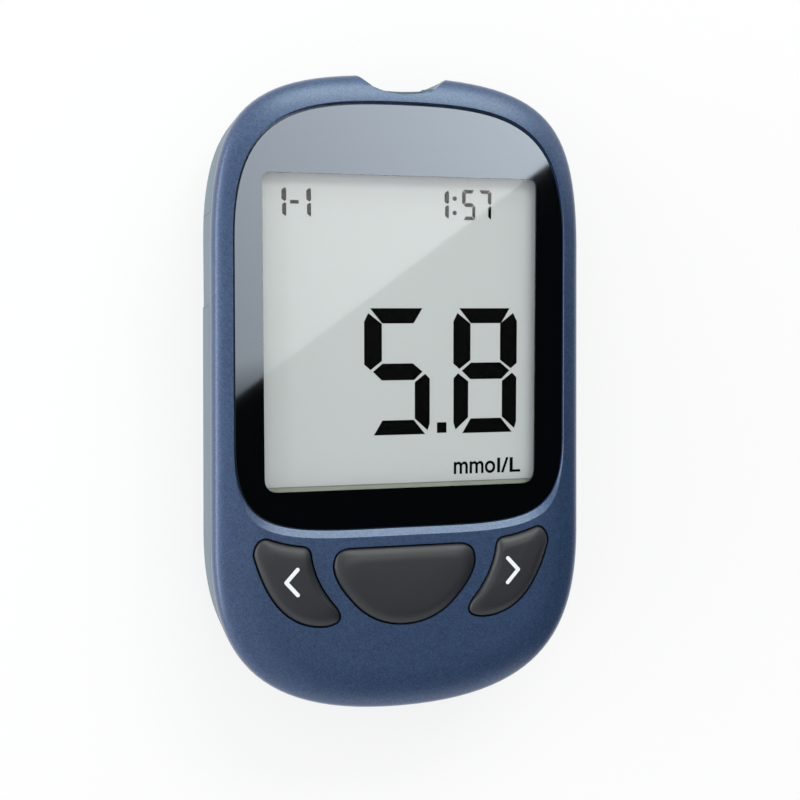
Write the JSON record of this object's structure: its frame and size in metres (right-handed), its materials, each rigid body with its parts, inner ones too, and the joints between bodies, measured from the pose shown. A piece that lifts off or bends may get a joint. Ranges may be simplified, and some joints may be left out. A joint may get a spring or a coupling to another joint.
{
  "type": "blood glucose meter",
  "caption": "Handheld blood glucose meter with a large display window, rounded keys, a test strip slot and a hinged battery door.",
  "frame": {"origin": "middle of the meter's box, on the flat back that it lies on", "axes": "+X to the right seen from the front, +Y along the case towards the strip slot, +Z out of the face"},
  "size_m": [0.0584, 0.0972, 0.0229],
  "materials": {
    "blue_case": "satin metallic blue paint on moulded plastic",
    "grey_case": "fine moulded grey",
    "lens": "polished clear plastic with a black printed border",
    "display": "reflective segment display",
    "white_plastic": "moulded",
    "contact_rubber": "striped conductive rubber",
    "circuit_board": "green solder mask",
    "black_plastic": "moulded black",
    "gold_contact": "gold plated",
    "key_plastic": "satin charcoal",
    "steel": "nickel plated",
    "battery_jacket": "printed metal sleeve"
  },
  "bodies": {
    "case": {"front_shell": "blue_case", "rear_cover": "grey_case", "display_lens": "lens", "lcd_cell": "display", "lcd_holder": "white_plastic", "elastomer_strip": "contact_rubber", "main_board": "circuit_board", "controller_chip": "black_plastic", "amplifier_chip": "black_plastic", "memory_chip": "black_plastic", "crystal_can": "steel", "buzzer": "black_plastic", "strip_connector": "black_plastic", "strip_contact_left": "gold_contact", "strip_contact_middle": "gold_contact", "strip_contact_right": "gold_contact", "dome_left": "steel", "dome_middle": "steel", "dome_right": "steel", "battery_left": "battery_jacket", "battery_right": "battery_jacket", "battery_spring_left": "steel", "battery_spring_right": "steel", "battery_plate_left": "steel", "battery_plate_right": "steel", "case_screw_1": "steel", "case_screw_2": "steel", "case_screw_3": "steel", "case_screw_4": "steel"},
    "left_key": {"key_left": "key_plastic"},
    "middle_key": {"key_middle": "key_plastic"},
    "right_key": {"key_right": "key_plastic"},
    "door": {"battery_door": "grey_case"}
  },
  "joints": [
    {"name": "left_key_press", "type": "slide", "parent": "case", "child": "left_key", "axis": [0, 0, -1], "range_m": [0, 0.0005], "stiffness_N_per_m": 2000, "springref_m": -0.0001, "deforming": ["dome_left"]},
    {"name": "middle_key_press", "type": "slide", "parent": "case", "child": "middle_key", "axis": [0, 0, -1], "range_m": [0, 0.0005], "stiffness_N_per_m": 2000, "springref_m": -0.0001, "deforming": ["dome_middle"]},
    {"name": "right_key_press", "type": "slide", "parent": "case", "child": "right_key", "axis": [0, 0, -1], "range_m": [0, 0.0005], "stiffness_N_per_m": 2000, "springref_m": -0.0001, "deforming": ["dome_right"]},
    {"name": "door_swing", "type": "hinge", "parent": "case", "child": "door", "pos_m": [0, -0.03065, 0.0011], "axis": [-1, 0, 0], "range_deg": [0, 95]}
  ]
}
